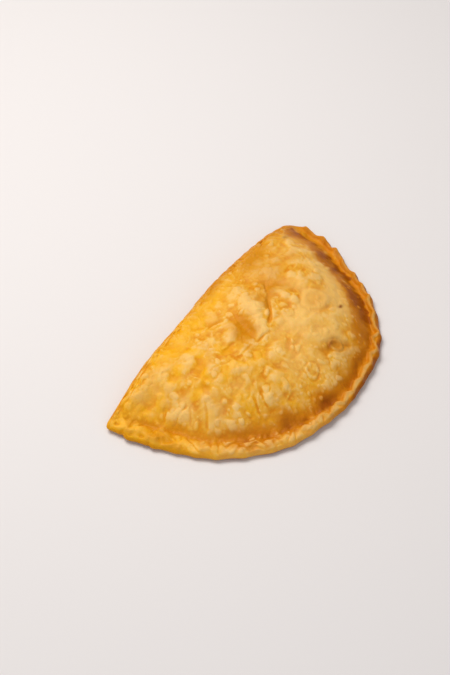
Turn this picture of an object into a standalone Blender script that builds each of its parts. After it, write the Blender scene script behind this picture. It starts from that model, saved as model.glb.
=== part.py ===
"""A cheburek: a round sheet of thin dough folded over its filling, crimped along the round edge and
deep-fried until it puffs and blisters.

One closed solid in metres, +Z up. The origin is under the middle of the pastry, on the surface that it
lies on. +X runs along the fold, from the sharp tip to the blunt tip, and the crimped rim faces -Y.

The shape functions work in millimetres on a plan view. Two distances steer them: how far a point lies
inside the crimped rim, and how far it lies inside the fold. The upper and the lower skin are heights
over that plan, and they meet along the outline.
"""

import math
import random

import bmesh
import bpy
import numpy as np
from mathutils import noise

MM = 0.001

# Driving dimensions, in millimetres.
DISC_RADIUS = 103.5  # the dough disc, from the middle of the fold to either tip
FRONT_REACH = 6.4  # how much further the rim reaches opposite the fold
FOLD_BULGE = 6.5  # how far the fold bows out past the straight line between the tips
CREST_RISE = 19.0  # the puffed crown above the crimped rim
RIM_HALF = 2.0  # half the thickness of the two sheets pressed together
RIM_LIFT = 3.0  # height of the rim's middle plane over the table
FOLD_LIFT = 7.5  # height of the fold's middle plane over the table
FOLD_Y = (DISC_RADIUS + FRONT_REACH - FOLD_BULGE) / 2.0  # the line between the tips

# The rim: rolled into a narrow rope by the blunt tip, broad and flat towards the sharp one.
ROPE_WIDTH = 7.0
FLAT_WIDTH = 12.5
ROPE_RISE = 2.2
FLAT_RISE = 1.5
BEAD_INSET_TIP = 2.4  # from the edge in to the rope's crest, by the blunt tip
BEAD_INSET_FRONT = 3.9  # the same along the front
BEAD_SWAY = 1.7
CRIMP_PITCH = 12.5
CRIMP_SCALLOP = 0.9
PLEAT_DEPTH = 0.5
UNDERSIDE_GAP = 0.4  # the least height of the rim's underside over the table

# Swellings and hollows of the crown: x, y, half length, half width, turn in degrees, height.
LUMPS = (
    (7.0, 24.0, 17.0, 6.5, 62.0, 2.6),
    (-8.0, 16.0, 9.0, 5.0, 65.0, -3.6),
    (33.0, 21.0, 9.0, 3.5, -60.0, -1.5),
    (24.0, 19.0, 6.0, 3.5, 55.0, -1.5),
    (14.0, 13.0, 9.0, 2.2, 35.0, -1.0),
    (-6.0, 6.0, 6.0, 3.5, 10.0, 1.0),
    (20.0, -13.0, 10.0, 7.0, -30.0, 1.0),
    (36.0, -22.0, 12.0, 3.5, -28.0, 0.7),
    (-30.0, 14.0, 10.0, 7.0, 15.0, -0.9),
    (-66.0, 40.0, 9.0, 5.0, 20.0, 1.0),
    (-74.0, 15.0, 8.0, 4.0, 80.0, 1.3),
    (-64.0, 2.0, 8.0, 5.0, 60.0, 0.9),
    (-55.0, -12.0, 7.0, 6.0, 30.0, 0.8),
    (-47.0, 22.0, 7.0, 4.0, 30.0, -1.0),
    (-57.0, 12.0, 9.0, 3.0, 95.0, -0.9),
    (-74.0, 38.0, 4.5, 3.5, 0.0, -1.0),
    (8.0, -31.0, 4.0, 3.0, 0.0, -0.8),
    (17.0, -33.5, 6.5, 4.5, -35.0, -2.0),
    (23.5, -38.0, 3.0, 2.0, -35.0, -1.2),
    (60.0, 12.0, 16.0, 12.0, 40.0, 0.8),
)

# Knobs and pockets where the rim's folds lie over each other, in the same terms.
RIM_LUMPS = (
    (-101.0, 39.5, 3.5, 2.5, 110.0, 0.9),
    (-98.5, 43.0, 3.0, 1.2, 110.0, -0.8),
    (-96.5, 34.0, 4.0, 3.0, 100.0, 0.8),
    (-98.0, 27.5, 2.8, 1.8, 60.0, -1.0),
    (-95.5, 22.5, 4.5, 3.0, 95.0, 0.9),
    (-94.0, 14.0, 2.5, 1.5, 30.0, -0.8),
    (-92.5, 7.5, 5.0, 3.5, 100.0, 0.8),
    (-88.5, -1.5, 2.5, 1.5, 60.0, -0.7),
    (-84.0, -7.0, 5.0, 3.0, 130.0, 0.6),
    (98.0, 24.0, 4.0, 2.6, 75.0, 1.4),
    (95.0, 17.0, 1.6, 3.0, 70.0, -0.8),
    (92.5, 10.0, 4.0, 2.8, 62.0, 1.6),
    (88.0, 2.5, 1.6, 2.6, 60.0, -0.8),
)

# Blisters with a place of their own: x, y, radius, height, stretch, turn in degrees.
DOMES = (
    (27.0, 11.5, 3.2, 0.9, 1.5, 60.0),
    (13.5, 37.0, 3.2, 0.7, 1.0, 0.0),
    (-12.0, 38.5, 5.0, 1.0, 1.0, 0.0),
    (-20.0, 19.0, 5.5, 1.1, 1.0, 0.0),
    (-29.0, 27.0, 3.5, 0.6, 1.6, 20.0),
    (41.0, -11.5, 6.0, 0.6, 1.2, 150.0),
    (-11.5, -9.5, 5.0, 0.7, 1.5, 15.0),
    (-40.0, -22.0, 4.2, 1.0, 1.3, 70.0),
    (-64.0, -13.0, 3.4, 0.9, 1.0, 0.0),
    (-36.0, 3.0, 5.0, 0.8, 1.3, 30.0),
    (-50.0, 30.0, 5.0, 0.8, 1.5, 10.0),
)

# Blisters that collapsed into a ring round a sunken middle, in the same terms.
RINGS = (
    (36.0, -7.0, 9.0, 0.35, 1.15, 165.0),
    (17.0, -34.0, 4.4, 0.5, 1.2, -35.0),
    (-8.0, -33.0, 5.0, 0.3, 1.0, 0.0),
    (16.0, 0.0, 4.6, 0.25, 1.0, 0.0),
)

# Creases pulled into the skin: start x, start y, end x, end y, half width, depth, bow.
CREASES = (
    (-30.0, 6.5, -18.0, 4.5, 0.9, 0.6, -0.8),
    (-16.0, 3.8, -2.0, 1.0, 0.8, 0.7, 0.4),
    (-1.0, 3.0, 20.0, 16.5, 1.0, 1.0, -0.6),
    (20.0, 15.0, 31.0, 27.0, 1.1, 0.6, 0.8),
    (-33.0, 15.0, -22.0, 14.0, 1.0, 0.5, 0.6),
    (-84.0, 15.0, -69.0, 15.0, 0.8, 0.6, 1.0),
    (-69.0, 14.0, -77.0, 7.0, 0.7, 0.6, 0.0),
    (-62.0, 7.0, -76.0, -3.0, 0.9, 0.8, 0.8),
    (-84.0, 21.0, -75.0, 27.0, 0.8, 0.5, 0.0),
    (-51.0, -26.0, -44.0, -13.0, 0.8, 0.6, 0.8),
    (-43.0, -26.0, -40.0, -16.0, 0.8, 0.6, 0.9),
    (16.0, -9.0, 45.0, -21.0, 1.3, 0.4, 1.5),
    (44.0, 28.0, 70.0, 20.0, 1.6, 0.3, 2.0),
)

BLISTER_COUNT = 90
BLISTER_RADII = (2.4, 5.2)

# Triangles: a dense skin carries the shape, and collapsing its edges leaves them where it bends.
AROUND = 400
ROWS_PER_SKIN = 72
KEPT_SHARE = 0.1

SEED = 11


def smoothstep(low, high, value):
    """0 below low, 1 above high, and a smooth ramp in between."""
    t = np.clip((value - low) / (high - low), 0.0, 1.0)
    return t * t * (3.0 - 2.0 * t)


def bump(value, centre, spread):
    """A bell curve of height 1."""
    return np.exp(-(((value - centre) / spread) ** 2))


def quarter_round(share):
    """The profile of a rounded edge: 0 at the edge with an upright tangent, 1 from share 1 on."""
    inner = 1.0 - np.clip(share, 0.0, 1.0)
    return np.sqrt(np.maximum(1.0 - inner * inner, 0.0))


def smooth_min(a, b, blend):
    """The smaller of two distances, with a round corner where they are alike."""
    near = np.maximum(blend - np.abs(a - b), 0.0) / blend
    return np.minimum(a, b) - near * near * blend / 4.0


def wander(x, y, length, layer):
    """Smooth noise between about -1 and 1 whose bumps are roughly length millimetres across."""
    points = zip(np.ravel(x) / length, np.ravel(y) / length)
    found = [noise.noise((px, py, layer)) for px, py in points]
    return np.reshape(found, np.shape(x)) * 1.6


def crimps():
    """The pinches along the rim: where each one lies along the arc, and how strong it is."""
    draw = random.Random(SEED)
    places = [0.0]
    strengths = [1.0]
    while places[-1] < math.pi * (DISC_RADIUS + FRONT_REACH):
        places.append(places[-1] + CRIMP_PITCH * draw.uniform(0.75, 1.3))
        strengths.append(draw.uniform(0.5, 1.25))
    return np.array(places), np.array(strengths)


CRIMP_PLACES, CRIMP_STRENGTHS = crimps()


def crimp_phase(along):
    """How far along the rim's pinches this is: it grows by a full turn from one to the next."""
    return np.interp(along, CRIMP_PLACES, np.arange(len(CRIMP_PLACES)) * 2.0 * math.pi)


def crimp(along):
    """1 on a pinch's crown and -1 between two pinches, steeper on one side, times its strength."""
    phase = crimp_phase(along)
    return np.cos(phase + 0.35 * np.sin(phase)) * np.interp(along, CRIMP_PLACES, CRIMP_STRENGTHS)


def sway(along):
    """How far the rolled edge swings in, from -1 to 1: slowly in, and fast out at the next pinch."""
    phase = crimp_phase(along)
    return np.sin(phase + 0.6 * np.sin(phase)) * np.interp(along, CRIMP_PLACES, CRIMP_STRENGTHS)


def rim_turn(x, y):
    """The angle round the rim: 0 at the blunt tip, pi at the sharp tip."""
    turn = np.arctan2(FOLD_Y - y, x)
    return np.where(turn < -math.pi / 2, math.pi, np.maximum(turn, 0.0))


def rope(turn):
    """1 where the rim is rolled into a rope, near the blunt tip, and 0 where it is broad and flat."""
    return 1.0 - smoothstep(1.45, 2.25, turn)


def rim_width(turn):
    """The band of sheets pressed together, from the edge in to the foot of the crown."""
    flat = FLAT_WIDTH + 2.5 * bump(turn, 2.8, 0.15) - 6.0 * smoothstep(2.9, 3.14, turn)
    return flat + (ROPE_WIDTH - FLAT_WIDTH) * rope(turn)


def rim_radius(turn):
    """The plan radius of the rim about the middle of the fold, without its pinches."""
    front = smoothstep(0.5, 1.15, turn) - smoothstep(2.2, 2.9, turn)
    reach = DISC_RADIUS + FRONT_REACH * front
    reach += 1.0 * bump(turn, 1.95, 0.4) + 1.4 * bump(turn, 1.3, 0.25)
    waist = 0.4 * bump(turn, 2.92, 0.10) + 1.0 * bump(turn, 0.52, 0.06) + 0.6 * bump(turn, 0.13, 0.06)
    uneven = 0.3 * np.sin(7.0 * turn + 0.6) + 0.4 * np.sin(15.0 * turn + 2.0)
    return reach - waist + uneven


def distances(x, y):
    """How far a point is inside the rim, inside the fold, and inside the whole outline."""
    turn = rim_turn(x, y)
    in_rim = rim_radius(turn) - np.hypot(x, y - FOLD_Y)
    knobs = 0.4 * smoothstep(0.45, 0.6, turn) + 0.3 * smoothstep(2.5, 2.8, turn)
    notches = 1.0 * bump(turn, 3.02, 0.014) + 0.9 * bump(turn, 2.85, 0.014)
    notches += 1.0 * bump(turn, 0.205, 0.03) + 1.3 * bump(turn, 0.35, 0.028) + 0.5 * bump(turn, 0.5, 0.02)
    scallop = CRIMP_SCALLOP * crimp(turn * DISC_RADIUS) * knobs - notches
    in_rim = in_rim + scallop * (1.0 - smoothstep(2.0, 14.0, in_rim))
    along = x / DISC_RADIUS
    bow = FOLD_BULGE * (1.0 - along**2) * (1.0 + 0.35 * along) + 0.5 * np.sin(x / 13.0)
    in_fold = FOLD_Y + bow - y
    corner = 5.0 + 13.0 * smoothstep(-20.0, 60.0, x)
    return in_rim, in_fold, smooth_min(in_rim, in_fold, corner)


def edge_plane(x, y):
    """The height at which the skins meet, and how far a point belongs to the fold rather than the rim."""
    in_rim, in_fold, _ = distances(x, y)
    turn = rim_turn(x, y)
    near_rim = 1.0 - smoothstep(4.0, 20.0, in_rim)
    wave = 0.6 * np.sin(4.0 * turn + 1.0) + 0.3 * np.sin(11.0 * turn)
    pinched = 0.4 * crimp(turn * DISC_RADIUS) * rope(turn)
    rim_plane = RIM_LIFT + (wave * np.sin(turn) + pinched) * near_rim
    middle = 1.0 - np.clip(np.abs(x) / DISC_RADIUS, 0.0, 1.0) ** 3
    fold_plane = RIM_LIFT + (FOLD_LIFT - RIM_LIFT) * middle
    off_rim = np.maximum(in_rim, 0.0)
    off_fold = np.maximum(in_fold, 0.0)
    on_fold = smoothstep(0.25, 0.75, off_rim / np.maximum(off_rim + off_fold, 0.01))
    return rim_plane + (fold_plane - rim_plane) * on_fold, on_fold


def rim_relief(in_rim, turn):
    """The rolled bead that swings in and out, then a puffed band with pleats, and the channel."""
    along = turn * DISC_RADIUS
    rolled = rope(turn)
    knobs = 0.2 + 0.2 * smoothstep(0.6, 0.4, turn)
    front = smoothstep(0.6, 1.15, turn)
    inset = BEAD_INSET_TIP + (BEAD_INSET_FRONT - BEAD_INSET_TIP) * front
    off_bead = in_rim - inset - BEAD_SWAY * (0.3 + 0.7 * front) * sway(along)
    bead = ROPE_RISE * rolled * bump(off_bead, 0.0, np.where(off_bead > 0.0, 1.2, 2.3))
    bead *= 1.0 + knobs * crimp(along)
    band = FLAT_RISE * (1.0 - rolled) * bump(in_rim, 4.8, 4.2)
    slanted = crimp(0.7 * along + 1.2 * in_rim)
    pleats = PLEAT_DEPTH * np.clip(0.5 - 0.5 * slanted, 0.0, 1.2) ** 2 * smoothstep(1.5, 1.9, turn)
    pleats *= smoothstep(0.5, 3.0, in_rim) * smoothstep(12.0, 8.0, in_rim)
    depth = (0.8 * rolled + 0.5 * (1.0 - rolled)) * smoothstep(3.1, 2.8, turn)
    return bead + band - pleats - depth * bump(in_rim, rim_width(turn), 3.0)


def crown(x, y):
    """The puffed body as a share of its full height: steep behind the rim, gentle towards the fold."""
    in_rim, in_fold, _ = distances(x, y)
    turn = rim_turn(x, y)
    share = np.clip((in_rim - rim_width(turn) + 2.5) / (46.0 - 4.0 * rope(turn)), 0.0, 1.0)
    share = 1.08 * share * share / (share + 0.08)
    from_rim = 1.0 - (1.0 - share) ** 2
    from_fold = 0.5 * quarter_round(in_fold / 11.0) + 0.5 * smoothstep(-12.0, 52.0, in_fold)
    return from_rim * from_fold


def scattered_domes():
    """More blisters, strewn over the crown so that none lies on another, in the terms of DOMES."""
    draw = random.Random(SEED)
    found = []
    while len(found) < BLISTER_COUNT:
        x, y = draw.uniform(-95.0, 95.0), draw.uniform(-60.0, 60.0)
        radius = draw.uniform(*BLISTER_RADII) * draw.uniform(0.75, 1.0)
        height = radius * draw.uniform(0.07, 0.19)
        others = (*found, *DOMES, *RINGS)
        clear = all(math.hypot(x - other[0], y - other[1]) > 0.85 * (radius + other[2]) for other in others)
        if clear and distances(np.array(x), np.array(y))[2] > 8.0:
            found.append((x, y, radius, height, 1.0, 0.0))
    return found


def turned(x, y, centre_x, centre_y, degrees):
    """Places as seen from a centre, along and across a direction."""
    cos, sin = math.cos(math.radians(degrees)), math.sin(math.radians(degrees))
    along = (x - centre_x) * cos + (y - centre_y) * sin
    across = (y - centre_y) * cos - (x - centre_x) * sin
    return along, across


def add_lump(relief, x, y, lump):
    """Adds one smooth swelling or hollow."""
    centre_x, centre_y, half_length, half_width, degrees, height = lump
    along, across = turned(x, y, centre_x, centre_y, degrees)
    relief += height * np.exp(-((along / half_length) ** 2) - (across / half_width) ** 2)


def blister_share(x, y, blister):
    """Distance from a blister's middle as a share of its radius."""
    centre_x, centre_y, radius, _, stretch, degrees = blister
    along, across = turned(x, y, centre_x, centre_y, degrees)
    return np.hypot(along / stretch, across) / radius


def add_dome(relief, x, y, dome):
    """Adds one round blister with a soft foot and a shallow moat."""
    share = blister_share(x, y, dome)
    relief += dome[3] * (np.maximum(1.0 - share * share, 0.0) ** 1.2 - 0.12 * bump(share, 1.15, 0.2))


def add_ring(relief, x, y, ring):
    """Adds one collapsed blister: a raised ring between a groove and a sunken middle."""
    share = blister_share(x, y, ring)
    relief += ring[3] * (bump(share, 0.72, 0.2) - 0.9 * bump(share, 1.0, 0.13) + 0.5 * bump(share, 0.1, 0.3))


def add_crease(relief, x, y, crease):
    """Adds one groove along a bowed line, shallow at both ends, with a low ridge on its side."""
    start_x, start_y, end_x, end_y, half_width, depth, bow = crease
    degrees = math.degrees(math.atan2(end_y - start_y, end_x - start_x))
    along, off = turned(x, y, start_x, start_y, degrees)
    along = along / math.hypot(end_x - start_x, end_y - start_y)
    middle = np.clip(4.0 * along * (1.0 - along), 0.0, 1.0)
    across = (off - bow * middle) / half_width
    relief += depth * middle**0.5 * (0.3 * bump(across, 2.2, 1.6) - bump(across, 0.0, 1.0))


def skin_relief(x, y):
    """Height that swellings, hollows, creases and blisters add to the upper skin."""
    warped_x = x + 1.1 * wander(x, y, 11.0, 21.0)
    warped_y = y + 1.1 * wander(x, y, 11.0, 27.0)
    relief = 0.9 * wander(x, y, 34.0, 3.0) + 0.5 * wander(x, y, 15.0, 5.0)
    for lump in LUMPS:
        add_lump(relief, warped_x, warped_y, lump)
    for dome in (*DOMES, *scattered_domes()):
        add_dome(relief, warped_x, warped_y, dome)
    for ring in RINGS:
        add_ring(relief, warped_x, warped_y, ring)
    for crease in CREASES:
        add_crease(relief, warped_x, warped_y, crease)
    return relief


def rim_bumps(x, y):
    """The rim's unevenness: lumps all along, and the knobs and pockets at the tips."""
    bumps = (0.4 + 0.5 * smoothstep(2.4, 2.8, rim_turn(x, y))) * wander(x, y, 8.0, 9.0)
    for lump in RIM_LUMPS:
        add_lump(bumps, x, y, lump)
    return bumps


def upper_skin(x, y):
    """Height of the upper skin."""
    in_rim, _, inside = distances(x, y)
    plane, on_fold = edge_plane(x, y)
    turn = rim_turn(x, y)
    lip = RIM_HALF * quarter_round(inside / RIM_HALF)
    rim = rim_relief(in_rim, turn) * smoothstep(0.0, 2.0, inside) * (1.0 - 0.6 * on_fold)
    rim += rim_bumps(x, y) * smoothstep(1.0, 4.0, inside)
    body = CREST_RISE * crown(x, y)
    return plane + lip + rim + body + skin_relief(x, y) * smoothstep(7.0, 22.0, inside)


def lower_skin(x, y):
    """Height of the lower skin: flat where the pastry rests, and curving up to the edge."""
    _, in_fold, inside = distances(x, y)
    plane, on_fold = edge_plane(x, y)
    turn = rim_turn(x, y)
    under_rim = np.maximum(plane - RIM_HALF * quarter_round(inside / RIM_HALF), UNDERSIDE_GAP)
    under_rim *= 1.0 - smoothstep(3.0, rim_width(turn) + 6.0, inside)
    under_fold = plane * (1.0 - quarter_round(in_fold / 13.0))
    return under_rim + (under_fold - under_rim) * on_fold


# The plan is star-shaped about this point, from which the skins' rows spread out to the outline.
HUB = (4.0, 10.0)


def reach_of(angle):
    """How far the outline is from the hub in each direction, found by halving."""
    near = np.full_like(angle, 10.0)
    far = np.full_like(angle, 2.0 * DISC_RADIUS)
    for _ in range(40):
        middle = (near + far) / 2.0
        inside = distances(HUB[0] + middle * np.cos(angle), HUB[1] + middle * np.sin(angle))[2] > 0.0
        near = np.where(inside, middle, near)
        far = np.where(inside, far, middle)
    return near


def evenly_round(share):
    """The direction from the hub that is this share of the way round the outline's own length."""
    angle = np.linspace(0.0, 2.0 * math.pi, 2881)
    reach = reach_of(angle)
    steps = np.hypot(np.diff(reach * np.cos(angle)), np.diff(reach * np.sin(angle)))
    travelled = np.concatenate([[0.0], np.cumsum(steps)])
    return np.interp(share, travelled / travelled[-1], angle)


def skin_points(unit):
    """Turns points of a unit sphere into the pastry's surface: its equator becomes the outline."""
    share = (np.arctan2(unit[:, 1], unit[:, 0]) / (2.0 * math.pi)) % 1.0
    latitude = np.arcsin(np.clip(unit[:, 2], -1.0, 1.0)) / (math.pi / 2.0)
    height = np.abs(latitude)
    inset = height * height / (height + 0.12) * 1.12
    angle = evenly_round(share)
    reach = reach_of(angle) * (1.0 - inset)
    x = HUB[0] + reach * np.cos(angle)
    y = HUB[1] + reach * np.sin(angle)
    z = np.where(latitude >= 0.0, upper_skin(x, y), lower_skin(x, y))
    return np.stack([x, y, z], axis=1)


def centred(points):
    """Moves the points so that the middle of their plan is over the origin and their foot is at 0."""
    low, high = points.min(axis=0), points.max(axis=0)
    return points - np.array([(low[0] + high[0]) / 2.0, (low[1] + high[1]) / 2.0, low[2]])


def dough_material():
    """Fried dough: golden, with a dull oily gloss."""
    material = bpy.data.materials.new("fried_dough")
    material.use_nodes = True
    shader = material.node_tree.nodes["Principled BSDF"]
    shader.inputs["Base Color"].default_value = (0.80, 0.47, 0.12, 1.0)
    shader.inputs["Roughness"].default_value = 0.45
    shader.inputs["Metallic"].default_value = 0.0
    return material


def make_cheburek(collection):
    """The whole pastry, as one solid."""
    sphere = bmesh.new()
    bmesh.ops.create_uvsphere(sphere, u_segments=AROUND, v_segments=2 * ROWS_PER_SKIN, radius=1.0)
    unit = np.array([vertex.co[:] for vertex in sphere.verts])
    for vertex, point in zip(sphere.verts, centred(skin_points(unit)) * MM):
        vertex.co = point
    bmesh.ops.recalc_face_normals(sphere, faces=sphere.faces)
    mesh = bpy.data.meshes.new("cheburek")
    sphere.to_mesh(mesh)
    sphere.free()
    mesh.materials.append(dough_material())
    mesh.shade_smooth()
    pastry = bpy.data.objects.new("cheburek", mesh)
    collection.objects.link(pastry)
    collapse = pastry.modifiers.new("collapse", "DECIMATE")
    collapse.ratio = KEPT_SHARE
    return pastry


def main():
    """Clears the scene and builds the pastry in a collection of its own."""
    for old in list(bpy.data.objects):
        bpy.data.objects.remove(old)
    collection = bpy.data.collections.new("cheburek")
    bpy.context.scene.collection.children.link(collection)
    make_cheburek(collection)


main()
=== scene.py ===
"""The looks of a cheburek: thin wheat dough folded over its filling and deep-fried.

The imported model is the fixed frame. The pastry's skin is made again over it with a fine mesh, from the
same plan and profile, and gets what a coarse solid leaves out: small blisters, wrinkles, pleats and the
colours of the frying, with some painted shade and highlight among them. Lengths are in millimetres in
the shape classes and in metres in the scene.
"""

from __future__ import annotations

import logging
import math
import random
from collections.abc import Iterable
from dataclasses import dataclass, field
from enum import Enum
from typing import Any

import bpy
import numpy as np
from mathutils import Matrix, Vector, noise


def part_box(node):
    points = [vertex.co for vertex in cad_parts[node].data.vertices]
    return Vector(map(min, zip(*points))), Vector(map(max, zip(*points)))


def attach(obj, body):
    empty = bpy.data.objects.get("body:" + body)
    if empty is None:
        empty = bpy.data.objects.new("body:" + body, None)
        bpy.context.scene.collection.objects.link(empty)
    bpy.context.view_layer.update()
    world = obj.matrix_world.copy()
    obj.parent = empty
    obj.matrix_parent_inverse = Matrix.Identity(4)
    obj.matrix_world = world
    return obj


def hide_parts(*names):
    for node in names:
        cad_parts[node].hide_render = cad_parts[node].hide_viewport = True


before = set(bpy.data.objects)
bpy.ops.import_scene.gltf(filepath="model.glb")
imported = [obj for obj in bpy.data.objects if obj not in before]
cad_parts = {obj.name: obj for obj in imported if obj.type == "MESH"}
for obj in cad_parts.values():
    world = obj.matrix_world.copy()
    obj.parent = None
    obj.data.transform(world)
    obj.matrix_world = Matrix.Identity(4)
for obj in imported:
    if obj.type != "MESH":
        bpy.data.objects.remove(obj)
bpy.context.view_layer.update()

LOG = logging.getLogger("cheburek")
NODE = "cheburek"
BODY = "root"
MM = 0.001
IMAGE_SIZE = (450, 675)
NOISE_GAIN = 1.6  # brings Blender's noise to about -1 to 1

Array = np.ndarray


# ---------------------------------------------------------------------------------------- helpers


def smoothstep(low: float | Array, high: float | Array, value: Array) -> Array:
    """0 below low, 1 above high, and a smooth ramp in between, which falls where low is the higher."""
    t = np.clip((value - low) / (high - low), 0.0, 1.0)
    return t * t * (3.0 - 2.0 * t)


def bump(value: Array, centre: float | Array, spread: float | Array) -> Array:
    """A bell curve of height 1."""
    return np.exp(-(((value - centre) / spread) ** 2))


def bumps(value: Array, rows: tuple[tuple[float, float, float], ...]) -> Array:
    """The sum of several bell curves, from rows of centre, spread and height."""
    return sum(height * bump(value, centre, spread) for centre, spread, height in rows)


def quarter_round(share: Array) -> Array:
    """The profile of a rounded edge: 0 at the edge with an upright tangent, 1 from share 1 on."""
    inner = 1.0 - np.clip(share, 0.0, 1.0)
    return np.sqrt(np.maximum(1.0 - inner * inner, 0.0))


def smooth_min(a: Array, b: Array, blend: Array) -> Array:
    """The smaller of two distances, with a round corner where they are alike."""
    near = np.maximum(blend - np.abs(a - b), 0.0) / blend
    return np.minimum(a, b) - near * near * blend / 4.0


def wander(x: Array, y: Array, length: float, layer: float) -> Array:
    """Smooth noise over the plan.

    Args:
        x: Plan positions along the fold.
        y: Plan positions across the fold.
        length: The noise's bumps are roughly this many millimetres across.
        layer: Picks one noise out of many.

    Returns:
        Values between about -1 and 1.
    """
    points = zip(np.ravel(x) / length, np.ravel(y) / length)
    found = [noise.noise((px, py, layer)) for px, py in points]
    return np.reshape(found, np.shape(x)) * NOISE_GAIN


def creased(x: Array, y: Array, length: float, layer: float) -> Array:
    """Noise folded at its middle, which leaves soft humps between thin valleys, from -1 to 1."""
    return 2.0 * np.minimum(np.abs(wander(x, y, length, layer)) * 1.8, 1.0) ** 0.7 - 1.0


def swayed(
    x: Array, y: Array, by: float, length: float, layers: tuple[float, float]
) -> tuple[Array, Array]:
    """Plan positions moved about by noise, which makes what is laid out over them ragged.

    Args:
        x: Plan positions along the fold.
        y: Plan positions across the fold.
        by: How far the noise moves them, in millimetres.
        length: The noise's bumps are roughly this many millimetres across.
        layers: The noise that moves x and the noise that moves y.

    Returns:
        The moved positions.
    """
    return x + by * wander(x, y, length, layers[0]), y + by * wander(x, y, length, layers[1])


def blurred(values: Array, spread: float) -> Array:
    """A Gaussian blur over a grid of values, spread in grid steps."""
    reach = int(3 * spread) + 1
    weights = np.exp(-0.5 * (np.arange(-reach, reach + 1) / spread) ** 2)
    weights /= weights.sum()
    for axis in (0, 1):
        size = values.shape[axis]
        sides = [(reach, reach) if side == axis else (0, 0) for side in (0, 1)]
        padded = np.pad(values, sides, mode="edge")
        steps = [np.take(padded, np.arange(k, k + size), axis=axis) for k in range(2 * reach + 1)]
        values = sum(weight * step for weight, step in zip(weights, steps))
    return values


def linear_rgba(hex_code: str) -> tuple[float, float, float, float]:
    """Turns an sRGB hex colour such as "#e9aa3c" into linear red, green, blue and alpha."""
    values = [int(hex_code[start : start + 2], 16) / 255.0 for start in (1, 3, 5)]
    linear = [v / 12.92 if v <= 0.04045 else ((v + 0.055) / 1.055) ** 2.4 for v in values]
    return linear[0], linear[1], linear[2], 1.0


# ------------------------------------------------------------------------------- plan and outline


@dataclass(frozen=True)
class Crimping:
    """The pinches that seal the rim.

    Args:
        pitch: Usual distance between two pinches along the rim.
        length: How much rim there is to pinch.
        seed: Seed of the uneven spacing.
    """

    pitch: float = 12.5
    length: float = math.pi * 110.5
    seed: int = 11
    places: Array = field(init=False, repr=False)
    strengths: Array = field(init=False, repr=False)

    def __post_init__(self) -> None:
        """Lays the pinches out along the rim."""
        draw = random.Random(self.seed)
        places, strengths = [0.0], [1.0]
        while places[-1] < self.length:
            places.append(places[-1] + self.pitch * draw.uniform(0.75, 1.3))
            strengths.append(draw.uniform(0.5, 1.25))
        object.__setattr__(self, "places", np.array(places))
        object.__setattr__(self, "strengths", np.array(strengths))

    def phase(self, along: Array) -> Array:
        """The angle at each place along the rim, a whole turn from one pinch to the next."""
        return np.interp(along, self.places, np.arange(len(self.places)) * 2.0 * math.pi)

    def strength(self, along: Array) -> Array:
        """How hard the rim is pinched at each place along it."""
        return np.interp(along, self.places, self.strengths)

    def at(self, along: Array) -> Array:
        """1 on a pinch's crown and -1 between two pinches, steeper on one side, times its strength."""
        phase = self.phase(along)
        return np.cos(phase + 0.35 * np.sin(phase)) * self.strength(along)

    def sway(self, along: Array) -> Array:
        """How far the rolled edge swings in, from -1 to 1: slowly in, and fast out at the next fold."""
        phase = self.phase(along)
        return np.sin(phase + 0.6 * np.sin(phase)) * self.strength(along)


# Where the rim bulges out, is drawn in, and is notched: the turn at the middle, the spread and how far.
RIM_BULGES = ((1.95, 0.4, 1.0), (1.3, 0.25, 1.4))
RIM_WAISTS = ((2.92, 0.1, 0.4), (0.52, 0.06, 1.0), (0.13, 0.06, 0.6))
RIM_NOTCHES = (
    (3.02, 0.014, 1.0),
    (2.85, 0.014, 0.9),
    (0.205, 0.03, 1.0),
    (0.35, 0.028, 1.3),
    (0.5, 0.02, 0.5),
)


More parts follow.
